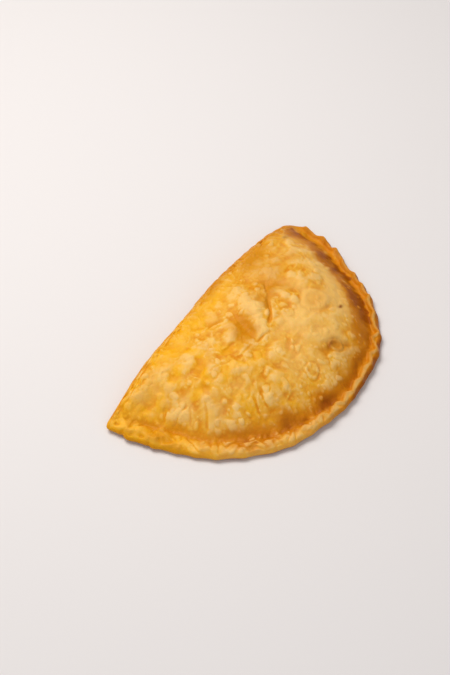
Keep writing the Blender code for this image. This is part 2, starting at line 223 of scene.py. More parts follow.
@dataclass(frozen=True)
class Plan:
    """The half-moon outline, seen from above: the fold along +Y's side and the rim round the rest."""

    disc_radius: float = 103.5
    front_reach: float = 6.4  # how much further the rim reaches at the front
    fold_bulge: float = 6.5  # how far the fold bows out from the line between the tips
    rope_width: float = 7.0  # of the rim, where it is rolled
    flat_width: float = 12.5  # of the rim, where it is flat
    scallop: float = 0.9  # how strongly the pinches push the edge out and in
    crimping: Crimping = field(default_factory=Crimping)

    @property
    def fold_y(self) -> float:
        """Where the straight line between the tips lies when the outline is centred."""
        return (self.disc_radius + self.front_reach - self.fold_bulge) / 2.0

    def turn(self, x: Array, y: Array) -> Array:
        """The angle round the rim: 0 at the blunt tip, half of pi in front, pi at the sharp tip."""
        turn = np.arctan2(self.fold_y - y, x)
        return np.where(turn < -math.pi / 2, math.pi, np.maximum(turn, 0.0))

    def pinch(self, turn: Array) -> Array:
        """How the rim is pinched at this turn."""
        return self.crimping.at(turn * self.disc_radius)

    def rope(self, turn: Array) -> Array:
        """1 where the rim is rolled into a rope, near the blunt tip, and 0 where it is flat."""
        return 1.0 - smoothstep(1.45, 2.25, turn)

    def rim_width(self, turn: Array) -> Array:
        """The band of sheets pressed together, from the edge in to the foot of the crown."""
        flat = self.flat_width + 2.5 * bump(turn, 2.8, 0.15) - 6.0 * smoothstep(2.9, 3.14, turn)
        return flat + (self.rope_width - self.flat_width) * self.rope(turn)

    def rim_radius(self, turn: Array) -> Array:
        """The plan radius of the rim about the middle of the fold, without its pinches."""
        front = smoothstep(0.5, 1.15, turn) - smoothstep(2.2, 2.9, turn)
        reach = self.disc_radius + self.front_reach * front
        reach += bumps(turn, RIM_BULGES)
        uneven = 0.3 * np.sin(7.0 * turn + 0.6) + 0.4 * np.sin(15.0 * turn + 2.0)
        return reach - bumps(turn, RIM_WAISTS) + uneven

    def distances(self, x: Array, y: Array) -> tuple[Array, Array, Array]:
        """How far a point is inside the rim, inside the fold, and inside the whole outline."""
        turn = self.turn(x, y)
        in_rim = self.rim_radius(turn) - np.hypot(x, y - self.fold_y)
        knobs = 0.4 * smoothstep(0.45, 0.6, turn) + 0.3 * smoothstep(2.5, 2.8, turn)
        scallop = self.scallop * self.pinch(turn) * knobs - bumps(turn, RIM_NOTCHES)
        in_rim = in_rim + scallop * (1.0 - smoothstep(2.0, 14.0, in_rim))
        along = x / self.disc_radius
        bow = self.fold_bulge * (1.0 - along**2) * (1.0 + 0.35 * along) + 0.5 * np.sin(x / 13.0)
        in_fold = self.fold_y + bow - y
        corner = 5.0 + 13.0 * smoothstep(-20.0, 60.0, x)
        return in_rim, in_fold, smooth_min(in_rim, in_fold, corner)


@dataclass(frozen=True)
class Place:
    """Where the points of one skin lie in plan, with the distances that its profile needs."""

    x: Array
    y: Array
    turn: Array
    in_rim: Array
    in_fold: Array
    inside: Array

    @classmethod
    def of(cls, plan: Plan, x: Array, y: Array) -> Place:
        """Measures the points once, for every function that needs them."""
        in_rim, in_fold, inside = plan.distances(x, y)
        return cls(x, y, plan.turn(x, y), in_rim, in_fold, inside)

    def noise(self, length: float, layer: float) -> Array:
        """Noise at the points, with bumps of that length."""
        return wander(self.x, self.y, length, layer)


# ------------------------------------------------------------------------------------- the relief


class BlisterForm(Enum):
    """What became of a bubble under the skin."""

    WHOLE = "whole"
    COLLAPSED = "collapsed"
    PEARL = "pearl"


@dataclass(frozen=True)
class Swelling:
    """A smooth rise, or a hollow where its height is negative."""

    x: float
    y: float
    half_length: float
    half_width: float
    degrees: float
    height: float

    def raise_skin(self, relief: Array, x: Array, y: Array) -> None:
        """Adds the swelling to the relief in place."""
        cos, sin = math.cos(math.radians(self.degrees)), math.sin(math.radians(self.degrees))
        along = ((x - self.x) * cos + (y - self.y) * sin) / self.half_length
        across = ((y - self.y) * cos - (x - self.x) * sin) / self.half_width
        relief += self.height * np.exp(-(along**2) - across**2)


def swellings(*rows: tuple[float, ...]) -> tuple[Swelling, ...]:
    """Swellings from rows of x, y, half length, half width, degrees and height."""
    return tuple(Swelling(*row) for row in rows)


@dataclass(frozen=True)
class Crease:
    """A groove pulled into the skin along a bowed line, with a low ridge on its left side."""

    start: tuple[float, float]
    end: tuple[float, float]
    half_width: float
    depth: float
    bow: float = 0.0

    def raise_skin(self, relief: Array, x: Array, y: Array) -> None:
        """Adds the crease to the relief in place."""
        length = math.hypot(self.end[0] - self.start[0], self.end[1] - self.start[1])
        cos, sin = (self.end[0] - self.start[0]) / length, (self.end[1] - self.start[1]) / length
        along = ((x - self.start[0]) * cos + (y - self.start[1]) * sin) / length
        off = (y - self.start[1]) * cos - (x - self.start[0]) * sin
        middle = np.clip(4.0 * along * (1.0 - along), 0.0, 1.0)
        across = (off - self.bow * middle) / self.half_width
        relief += self.depth * middle**0.5 * (0.3 * bump(across, 2.2, 1.6) - bump(across, 0.0, 1.0))


@dataclass(frozen=True)
class Blister:
    """One bubble in the skin, round or drawn out."""

    x: float
    y: float
    radius: float
    height: float
    form: BlisterForm = BlisterForm.WHOLE
    stretch: float = 1.0
    degrees: float = 0.0

    def share(self, x: Array, y: Array) -> Array:
        """Distance from the middle as a share of the radius."""
        cos, sin = math.cos(math.radians(self.degrees)), math.sin(math.radians(self.degrees))
        along = ((x - self.x) * cos + (y - self.y) * sin) / self.stretch
        across = (y - self.y) * cos - (x - self.x) * sin
        return np.hypot(along, across) / self.radius

    def profile(self, share: Array) -> Array:
        """Height over the skin at that share of the radius."""
        if self.form is BlisterForm.COLLAPSED:
            brim = bump(share, 0.72, 0.2) - 0.9 * bump(share, 1.0, 0.13)
            return self.height * (brim + 0.5 * bump(share, 0.1, 0.3))
        roundness, moat = (0.7, 0.2) if self.form is BlisterForm.PEARL else (1.2, 0.12)
        dome = np.maximum(1.0 - share * share, 0.0) ** roundness
        return self.height * (dome - moat * bump(share, 1.15, 0.2))

    def raise_skin(self, relief: Array, x: Array, y: Array) -> None:
        """Adds the blister to the relief in place, over the points that it reaches."""
        reach = 1.8 * self.radius * self.stretch
        near = (np.abs(x - self.x) < reach) & (np.abs(y - self.y) < reach)
        relief[near] += self.profile(self.share(x[near], y[near]))


SWELLINGS = swellings(
    (7, 24, 17, 6.5, 62, 2.6),
    (-8, 16, 9, 5, 65, -3.6),
    (33, 21, 9, 3.5, -60, -1.5),
    (24, 19, 6, 3.5, 55, -1.5),
    (14, 13, 9, 2.2, 35, -1),
    (-6, 6, 6, 3.5, 10, 1),
    (20, -13, 10, 7, -30, 1),
    (36, -22, 12, 3.5, -28, 0.7),
    (-30, 14, 10, 7, 15, -0.9),
    (-66, 40, 9, 5, 20, 1),
    (-74, 15, 8, 4, 80, 1.3),
    (-64, 2, 8, 5, 60, 0.9),
    (-55, -12, 7, 6, 30, 0.8),
    (-47, 22, 7, 4, 30, -1),
    (-57, 12, 9, 3, 95, -0.9),
    (-74, 38, 4.5, 3.5, 0, -1),
    (8, -31, 4, 3, 0, -0.8),
    (17, -33.5, 6.5, 4.5, -35, -2),
    (23.5, -38, 3, 2, -35, -1.2),
    (60, 12, 16, 12, 40, 0.8),
)

RIM_SWELLINGS = swellings(
    (-101, 39.5, 3.5, 2.5, 110, 0.9),
    (-98.5, 43, 3, 1.2, 110, -0.8),
    (-96.5, 34, 4, 3, 100, 0.8),
    (-98, 27.5, 2.8, 1.8, 60, -1),
    (-95.5, 22.5, 4.5, 3, 95, 0.9),
    (-94, 14, 2.5, 1.5, 30, -0.8),
    (-92.5, 7.5, 5, 3.5, 100, 0.8),
    (-88.5, -1.5, 2.5, 1.5, 60, -0.7),
    (-84, -7, 5, 3, 130, 0.6),
    (98, 24, 4, 2.6, 75, 1.4),
    (95, 17, 1.6, 3, 70, -0.8),
    (92.5, 10, 4, 2.8, 62, 1.6),
    (88, 2.5, 1.6, 2.6, 60, -0.8),
)

WHOLE, COLLAPSED = BlisterForm.WHOLE, BlisterForm.COLLAPSED
PLACED_BLISTERS = (
    Blister(27, 11.5, 3.2, 0.9, WHOLE, 1.5, 60),
    Blister(13.5, 37, 3.2, 0.7),
    Blister(-12, 38.5, 5, 1),
    Blister(-20, 19, 5.5, 1.1),
    Blister(-29, 27, 3.5, 0.6, WHOLE, 1.6, 20),
    Blister(36, -7, 9, 0.35, COLLAPSED, 1.15, 165),
    Blister(41, -11.5, 6, 0.6, WHOLE, 1.2, 150),
    Blister(17, -34, 4.4, 0.5, COLLAPSED, 1.2, -35),
    Blister(-8, -33, 5, 0.3, COLLAPSED),
    Blister(-11.5, -9.5, 5, 0.7, WHOLE, 1.5, 15),
    Blister(16, 0, 4.6, 0.25, COLLAPSED),
    Blister(-40, -22, 4.2, 1, WHOLE, 1.3, 70),
    Blister(-64, -13, 3.4, 0.9),
    Blister(-36, 3, 5, 0.8, WHOLE, 1.3, 30),
    Blister(-50, 30, 5, 0.8, WHOLE, 1.5, 10),
)

CREASES = (
    Crease((-30, 6.5), (-18, 4.5), 0.9, 0.6, -0.8),
    Crease((-16, 3.8), (-2, 1), 0.8, 0.7, 0.4),
    Crease((-1, 3), (20, 16.5), 1, 1, -0.6),
    Crease((20, 15), (31, 27), 1.1, 0.6, 0.8),
    Crease((-33, 15), (-22, 14), 1, 0.5, 0.6),
    Crease((-84, 15), (-69, 15), 0.8, 0.6, 1),
    Crease((-69, 14), (-77, 7), 0.7, 0.6),
    Crease((-62, 7), (-76, -3), 0.9, 0.8, 0.8),
    Crease((-84, 21), (-75, 27), 0.8, 0.5),
    Crease((-51, -26), (-44, -13), 0.8, 0.6, 0.8),
    Crease((-43, -26), (-40, -16), 0.8, 0.6, 0.9),
    Crease((16, -9), (45, -21), 1.3, 0.4, 1.5),
    Crease((44, 28), (70, 20), 1.6, 0.3, 2),
)


@dataclass(frozen=True)
class Blistering:
    """Blisters strewn over the crown, from a seeded draw.

    Args:
        large: How many blisters the solid has too.
        large_radii: Their smallest and largest radius.
        pearls: How many small bubbles lie among them.
        pearl_radii: Their smallest and largest radius.
        spacing: Least distance between two of them, as a share of their two radii.
        tries: Draws for each pearl, because most of them fall where few pearls lie.
        seed: Seed of both draws.
    """

    large: int = 90
    large_radii: tuple[float, float] = (2.4, 5.2)
    pearls: int = 900
    pearl_radii: tuple[float, float] = (0.7, 2.2)
    spacing: float = 0.85
    tries: int = 12
    seed: int = 11

    def is_clear(self, x: float, y: float, radius: float, others: Iterable[Blister]) -> bool:
        """Whether a blister there would stand clear of the others."""
        return all(math.hypot(x - b.x, y - b.y) > self.spacing * (radius + b.radius) for b in others)

    def large_ones(self, plan: Plan) -> list[Blister]:
        """The blisters of the solid, no two on top of each other."""
        draw = random.Random(self.seed)
        found: list[Blister] = []
        while len(found) < self.large:
            x, y = draw.uniform(-95.0, 95.0), draw.uniform(-60.0, 60.0)
            radius = draw.uniform(*self.large_radii) * draw.uniform(0.75, 1.0)
            height = radius * draw.uniform(0.07, 0.19)
            clear = self.is_clear(x, y, radius, (*found, *PLACED_BLISTERS))
            if clear and plan.distances(np.array(x), np.array(y))[2] > 8.0:
                found.append(Blister(x, y, radius, height))
        return found

    def crowding(self, x: Array, y: Array, in_rim: Array) -> Array:
        """How thickly the pearls lie: most by the foot of the crown, least on its smooth right side."""
        foot = bump(in_rim, 17.0, 8.0) * smoothstep(40.0, 10.0, x) * smoothstep(-72.0, -48.0, x)
        smooth_side = smoothstep(15.0, 45.0, x) * smoothstep(-30.0, 0.0, y)
        patches = 0.5 + 0.5 * wander(x, y, 17.0, 41.0)
        return (0.25 + 0.75 * foot) * (1.0 - 0.7 * smooth_side) * (0.35 + 0.9 * patches)

    def small_ones(self, plan: Plan) -> list[Blister]:
        """The pearls, thicker in some places than in others."""
        draw = random.Random(self.seed + 1)
        drawn = [
            (draw.uniform(-100.0, 100.0), draw.uniform(-60.0, 58.0), draw.random(), draw.random())
            for _ in range(self.pearls * self.tries)
        ]
        x, y, luck, size = (np.array(values) for values in zip(*drawn))
        in_rim, _, inside = plan.distances(x, y)
        kept = (luck < self.crowding(x, y, in_rim)) & (inside > 2.5)
        low, high = self.pearl_radii
        found: list[Blister] = []
        for px, py, share in zip(x[kept], y[kept], size[kept]):
            radius = low + (high - low) * share**2.2
            height = radius * draw.uniform(0.10, 0.34)
            stretch, degrees = draw.uniform(1.0, 1.5), draw.uniform(0.0, 180.0)
            if self.is_clear(px, py, radius, found) and len(found) < self.pearls:
                found.append(Blister(px, py, radius, height, BlisterForm.PEARL, stretch, degrees))
        return found


@dataclass(frozen=True)
class SkinRelief:
    """Everything that stands out from the smooth crown of the upper skin."""

    plan: Plan
    blistering: Blistering = field(default_factory=Blistering)

    def coarse(self, place: Place) -> Array:
        """The relief that the solid has too: swellings, creases and the larger blisters."""
        x, y = swayed(place.x, place.y, 1.1, 11.0, (21.0, 27.0))
        relief = 0.9 * place.noise(34.0, 3.0) + 0.5 * place.noise(15.0, 5.0)
        for feature in (*SWELLINGS, *PLACED_BLISTERS, *CREASES, *self.blistering.large_ones(self.plan)):
            feature.raise_skin(relief, x, y)
        return relief

    def fine(self, place: Place) -> Array:
        """Pearls, wrinkles and the crumple of a thin skin that dried over steam."""
        x, y = swayed(place.x, place.y, 0.8, 5.0, (31.0, 37.0))
        pearls = np.zeros_like(x)
        for blister in self.blistering.small_ones(self.plan):
            blister.raise_skin(pearls, x, y)
        swirl_x, swirl_y = swayed(x, y, 4.5, 15.0, (91.0, 97.0))
        crumple = 0.14 * creased(x, y, 10.0, 43.0) - 0.15 * creased(swirl_x, swirl_y, 6.0, 47.0)
        crumple *= 1.0 - 0.65 * bump(place.in_rim, 14.0, 8.0)
        grain = 0.05 * wander(x, y, 2.2, 53.0)
        return 0.7 * np.tanh(pearls / 0.7) + crumple + grain

    def frill(self, place: Place) -> Array:
        """Small folds along the flat rim, where the two sheets dried unevenly."""
        x, y = swayed(place.x, place.y, 3.0, 11.0, (93.0, 95.0))
        folds = 0.4 * creased(x, y, 6.5, 57.0) + 0.2 * wander(x, y, 3.2, 59.0)
        return folds * smoothstep(14.0, 9.0, place.in_rim) * smoothstep(1.2, 1.8, place.turn)

    def side_ripple(self, place: Place) -> Array:
        """Ripples on the steep side of the fold, where the dough was bent round."""
        drop = 3.0 * place.in_fold
        ripple = 0.45 * creased(place.x, drop, 9.0, 109.0) + 0.3 * wander(place.x, drop, 4.0, 111.0)
        ripple *= smoothstep(0.2, 1.5, place.in_fold) * smoothstep(9.0, 5.0, place.in_fold)
        return ripple * smoothstep(8.0, 16.0, place.in_rim)


# --------------------------------------------------------------------------------- the two skins


@dataclass(frozen=True)
class Profile:
    """Heights of the upper and the lower skin over the plan."""

    plan: Plan
    relief: SkinRelief
    crest_rise: float = 19.0  # of the crown over the edge
    crown_run: float = 46.0  # in from the rim, over which the crown climbs
    fold_round: float = 11.0  # depth of the fold's turn above its edge
    under_round: float = 13.0  # and of the turn below it
    rim_half: float = 2.0  # half the thickness of the rim
    rim_lift: float = 3.0  # of the rim's edge over the surface below
    fold_lift: float = 7.5  # of the fold's edge, half-way between the tips
    rope_rise: float = 2.2  # of the rolled bead
    flat_rise: float = 1.5  # of the flat band
    bead_near: float = 2.4  # from the edge to the bead's crest, by the blunt tip
    bead_far: float = 3.9  # and at the front
    bead_sway: float = 1.7
    pleat_depth: float = 0.5
    underside_gap: float = 0.4  # left under the rim

    def edge_plane(self, place: Place) -> tuple[Array, Array]:
        """The height at which the skins meet, and how far a point belongs to the fold."""
        near_rim = 1.0 - smoothstep(4.0, 20.0, place.in_rim)
        wave = 0.6 * np.sin(4.0 * place.turn + 1.0) + 0.3 * np.sin(11.0 * place.turn)
        pinched = 0.4 * self.plan.pinch(place.turn) * self.plan.rope(place.turn)
        rim_plane = self.rim_lift + (wave * np.sin(place.turn) + pinched) * near_rim
        middle = 1.0 - np.clip(np.abs(place.x) / self.plan.disc_radius, 0.0, 1.0) ** 3
        fold_plane = self.rim_lift + (self.fold_lift - self.rim_lift) * middle
        off_rim, off_fold = np.maximum(place.in_rim, 0.0), np.maximum(place.in_fold, 0.0)
        on_fold = smoothstep(0.25, 0.75, off_rim / np.maximum(off_rim + off_fold, 0.01))
        return rim_plane + (fold_plane - rim_plane) * on_fold, on_fold

    def rim(self, place: Place) -> Array:
        """The rim: a bead that swings in and out, then a puffed band with pleats, and the channel."""
        along = place.turn * self.plan.disc_radius
        pinch, rolled = self.plan.pinch(place.turn), self.plan.rope(place.turn)
        knobs = 0.2 + 0.2 * smoothstep(0.6, 0.4, place.turn)
        off_bead = place.in_rim - self.bead_inset(place.turn)
        bead = bump(off_bead, 0.0, np.where(off_bead > 0.0, 1.2, 2.3))
        bead *= self.rope_rise * rolled * (1.0 + knobs * pinch)
        band = self.flat_rise * (1.0 - rolled) * bump(place.in_rim, 4.8, 4.2)
        slant = self.plan.crimping.at(0.7 * along + 1.2 * place.in_rim)
        pressed = smoothstep(0.5, 3.0, place.in_rim) * smoothstep(12.0, 8.0, place.in_rim)
        pleats = self.pleat_depth * np.clip(0.5 - 0.5 * slant, 0.0, 1.2) ** 2 * pressed
        pleats *= smoothstep(1.5, 1.9, place.turn)
        depth = (0.8 * rolled + 0.5 * (1.0 - rolled)) * smoothstep(3.1, 2.8, place.turn)
        channel = depth * bump(place.in_rim, self.plan.rim_width(place.turn), 3.0)
        return bead + band - pleats - channel

    def rim_bumps(self, place: Place) -> Array:
        """The rim's unevenness: lumps all along, and the knobs and pockets at the tips."""
        lumpy = 0.4 + 0.5 * smoothstep(2.4, 2.8, place.turn)
        bumps = lumpy * place.noise(8.0, 9.0)
        for swelling in RIM_SWELLINGS:
            swelling.raise_skin(bumps, place.x, place.y)
        return bumps

    def bead_inset(self, turn: Array) -> Array:
        """How far the rolled bead's crest lies inside the edge."""
        front = smoothstep(0.6, 1.15, turn)
        sway = self.bead_sway * self.plan.crimping.sway(turn * self.plan.disc_radius)
        return self.bead_near + (self.bead_far - self.bead_near) * front + (0.3 + 0.7 * front) * sway

    def crown(self, place: Place) -> Array:
        """The puffed body as a share of its full height: steep behind the rim, gentle to the fold."""
        rolled = self.plan.rope(place.turn)
        behind_rim = place.in_rim - self.plan.rim_width(place.turn) + 2.5
        share = np.clip(behind_rim / (self.crown_run - 4.0 * rolled), 0.0, 1.0)
        share = 1.08 * share * share / (share + 0.08)
        from_rim = 1.0 - (1.0 - share) ** 2
        round_fold = quarter_round(place.in_fold / self.fold_round)
        return from_rim * (0.5 * round_fold + 0.5 * smoothstep(-12.0, 52.0, place.in_fold))

    def upper(self, place: Place) -> tuple[Array, Array]:
        """The upper skin.

        Returns:
            Its height, and the part of it that is relief.
        """
        plane, on_fold = self.edge_plane(place)
        thinned = 1.6 * (1.0 - self.plan.rope(place.turn)) * (1.0 - on_fold)
        lip = self.rim_half * quarter_round(place.inside / (self.rim_half + thinned))
        rim = self.rim(place) * smoothstep(0.0, 2.0, place.inside) * (1.0 - 0.6 * on_fold)
        lumps = self.rim_bumps(place) * smoothstep(1.0, 4.0, place.inside)
        coarse = self.relief.coarse(place) * smoothstep(7.0, 22.0, place.inside)
        fine = self.relief.fine(place) * smoothstep(0.5, 5.0, place.inside)
        fine *= 1.0 + 1.4 * smoothstep(12.0, 5.0, place.in_fold)
        frill = self.relief.frill(place) * smoothstep(0.2, 2.5, place.inside)
        relief = rim + lumps + coarse + fine + frill + self.relief.side_ripple(place)
        return plane + lip + self.crest_rise * self.crown(place) + relief, relief

    def lower(self, place: Place) -> Array:
        """The lower skin: flat where the pastry rests, and curving up to the edge."""
        plane, on_fold = self.edge_plane(place)
        under_rim = plane - self.rim_half * quarter_round(place.inside / self.rim_half)
        under_rim = np.maximum(under_rim, self.underside_gap)
        under_rim *= 1.0 - smoothstep(3.0, 6.0 + self.plan.rim_width(place.turn), place.inside)
        under_fold = plane * (1.0 - quarter_round(place.in_fold / self.under_round))
        return under_rim + (under_fold - under_rim) * on_fold


HALVINGS = 40  # which finds the outline to far less than a micrometre


@dataclass(frozen=True)
class SkinGrid:
    """A square grid drawn out over the half-moon, so that its cells stay alike in size.

    Args:
        plan: The outline that it fills.
        columns: Cells along the fold on the upper skin. The lower skin has half as many.
        rows: Cells across the fold on the upper skin. The lower skin has half as many.
        hub: The point from which the grid spreads.
        edge_width: Width of the outermost cells, from nearly 0 for very narrow ones.
        outline_steps: How many directions the outline's length is measured in.
    """

    plan: Plan
    columns: int = 320
    rows: int = 236
    hub: tuple[float, float] = (4.0, 10.0)
    edge_width: float = 0.02
    outline_steps: int = 2880

    def reach(self, angle: Array) -> Array:
        """How far the outline is from the hub in each direction, found by halving."""
        near, far = np.zeros_like(angle), np.full_like(angle, 2.0 * self.plan.disc_radius)
        for _ in range(HALVINGS):
            middle = (near + far) / 2.0
            x, y = self.hub[0] + middle * np.cos(angle), self.hub[1] + middle * np.sin(angle)
            inside = self.plan.distances(x, y)[2] > 0.0
            near, far = np.where(inside, middle, near), np.where(inside, far, middle)
        return near

    def directions(self, share: Array) -> tuple[Array, Array]:
        """The angle and the reach at each share of the way round the outline's own length."""
        angle = np.linspace(0.0, 2.0 * math.pi, self.outline_steps + 1)
        reach = self.reach(angle)
        steps = np.hypot(np.diff(reach * np.cos(angle)), np.diff(reach * np.sin(angle)))
        travelled = np.concatenate([[0.0], np.cumsum(steps)])
        found = np.interp(share, travelled / travelled[-1], angle)
        return found, self.reach(found)

    def spread(self, coarser: int) -> tuple[Array, Array, Array, Array]:
        """Plan positions of the grid's points.

        Args:
            coarser: 1 for the upper skin's grid, 2 for the lower skin's.

        Returns:
            The x and y of each point, and the same with the edge's narrow rows drawn apart.
        """
        across = np.linspace(-1.0, 1.0, self.columns // coarser + 1)
        along = np.linspace(-1.0, 1.0, self.rows // coarser + 1)
        u, v = np.meshgrid(across, along, indexing="ij")
        disc_x, disc_y = u * np.sqrt(1.0 - v * v / 2.0), v * np.sqrt(1.0 - u * u / 2.0)
        out = np.clip(np.hypot(disc_x, disc_y), 0.0, 1.0)
        share = (np.arctan2(disc_y, disc_x) / (2.0 * math.pi)) % 1.0
        angle, reach = self.directions(share)
        inset = (1.0 - out) ** 2 / (1.0 - out + self.edge_width) * (1.0 + self.edge_width)
        near = [reach * (1.0 - inset) * np.cos(angle), reach * (1.0 - inset) * np.sin(angle)]
        even = [reach * out * np.cos(angle), reach * out * np.sin(angle)]
        return self.hub[0] + near[0], self.hub[1] + near[1], even[0], even[1]

    def upper_faces(self) -> list[tuple[int, ...]]:
        """Quads of the upper skin, by point numbers."""
        number = np.arange((self.columns + 1) * (self.rows + 1))
        number = number.reshape(self.columns + 1, self.rows + 1)
        corners = (number[:-1, :-1], number[1:, :-1], number[1:, 1:], number[:-1, 1:])
        return list(map(tuple, np.stack([c.ravel() for c in corners], axis=1).tolist()))

    def lower_numbers(self) -> tuple[Array, Array]:
        """Point numbers of the lower skin, which shares the edge's points with the upper one.

        Returns:
            The number of each point of the lower grid, and which of them are the lower skin's own.
        """
        columns, rows = self.columns // 2, self.rows // 2
        own = np.zeros((columns + 1, rows + 1), bool)
        own[1:-1, 1:-1] = True
        first = (self.columns + 1) * (self.rows + 1)
        i, j = np.meshgrid(np.arange(columns + 1), np.arange(rows + 1), indexing="ij")
        number = 2 * i * (self.rows + 1) + 2 * j
        number[own] = first + np.arange(own.sum())
        return number, own

    def lower_faces(self) -> list[tuple[int, ...]]:
        """Faces of the lower skin: those along the edge take in the upper skin's extra points."""
        number, _ = self.lower_numbers()
        columns, rows = self.columns // 2, self.rows // 2
        wide = self.rows + 1
        faces = []
        for i in range(columns):
            for j in range(rows):
                ring = [(i, j), (i, j + 1), (i + 1, j + 1), (i + 1, j)]
                face = []
                for (a, b), (c, d) in zip(ring, ring[1:] + ring[:1]):
                    face.append(int(number[a, b]))
                    if (a == c and a in (0, columns)) or (b == d and b in (0, rows)):
                        face.append((a + c) * wide + b + d)
                faces.append(tuple(face))
        return faces


# ------------------------------------------------------------------------------ what frying did, with painted shade and highlight


BUTTER_PATCHES = swellings(
    (-50, 43, 6, 4.5, 0, 1),
    (-74, 38, 4, 3, 0, 1),
    (-63, 30, 7, 3.5, 10, 0.9),
    (-47, 20, 6, 4, 30, 1),
    (-57, 10, 9, 3.5, 95, 0.9),
    (-30, 50, 16, 6, 0, 0.7),
    (-38, 41, 7, 4, 0, 0.9),
    (-20, 42, 5, 4, 30, 0.9),
    (2, 45, 9, 5, 20, 0.8),
    (-42, 2, 7, 9, 0, 0.5),
    (-20, -2, 5, 3.5, 20, 0.7),
)

AMBER_PATCHES = swellings(
    (-8, 15, 9, 5.5, 62, 1),
    (-16, 13, 11, 5, 60, 0.7),
    (31, 18.5, 9, 3.6, -60, 0.7),
    (24, 19, 6, 3, 55, 0.7),
    (12, 12, 8, 1.6, 35, 0.6),
    (15, 17, 7, 3.8, 62, 0.9),
    (40, 30, 22, 13, 0, 0.5),
    (-14, 34, 5, 1.8, -10, 0.7),
    (46, 46, 17, 6.5, 3, 1.1),
    (36, -7, 8, 6, -20, 0.45),
    (97, 38, 8, 13, 0, 0.9),
    (17, -33.5, 5, 4.5, 0, 1),
    (22, -38.5, 4, 3, -35, 0.8),
    (8, -31.5, 3.5, 2.5, 0, 0.5),
    (5, -15, 3.5, 2.5, 0, 0.5),
    (31, -15, 6, 2, -20, 0.5),
    (-92, 18, 11, 5, 105, 0.9),
    (-100, 37, 8, 1.6, 105, 0.6),
)

# Small dark marks: burns, and painted shadow in the hollow of a collapsed blister
SCORCHES_AND_SHADE = swellings(
    (44.5, -20, 2.2, 0.9, 0, 1),
    (76.5, 3, 5.5, 1.8, 15, 0.9),
    (76, 41, 3.5, 1.3, 0, 0.45),
    # these three: painted shadow in the collapsed blister's hollow
    (14.5, -31, 4, 1.4, 15, 0.6),
    (17.5, -33, 4.5, 3.5, 0, 0.3),
    (23, -38, 2.5, 1.2, -40, 0.35),
)

PALE_PATCHES = swellings(
    (18, -14, 13, 9, -30, 0.8),
    (32, -26, 15, 6, -28, 0.6),
    (-8, -23, 16, 8, 0, 0.8),
    (-45, -3, 8, 7, 0, 0.5),
    (-76, 41, 12, 4.5, 0, 0.6),
    (-73, 15, 10, 5, 80, 0.9),
    (-64, 0, 9, 5, 60, 0.8),
    (-67, 37, 8, 5, 20, 0.6),
    (8, 30, 11, 5, 62, 0.25),
    (-12, 39, 5, 4, 0, 0.7),
    (-6, 5, 6, 3, 10, 0.4),
    (60, 5, 16, 9, 60, 0.6),
    (62, 30, 14, 9, 0, 0.4),
)


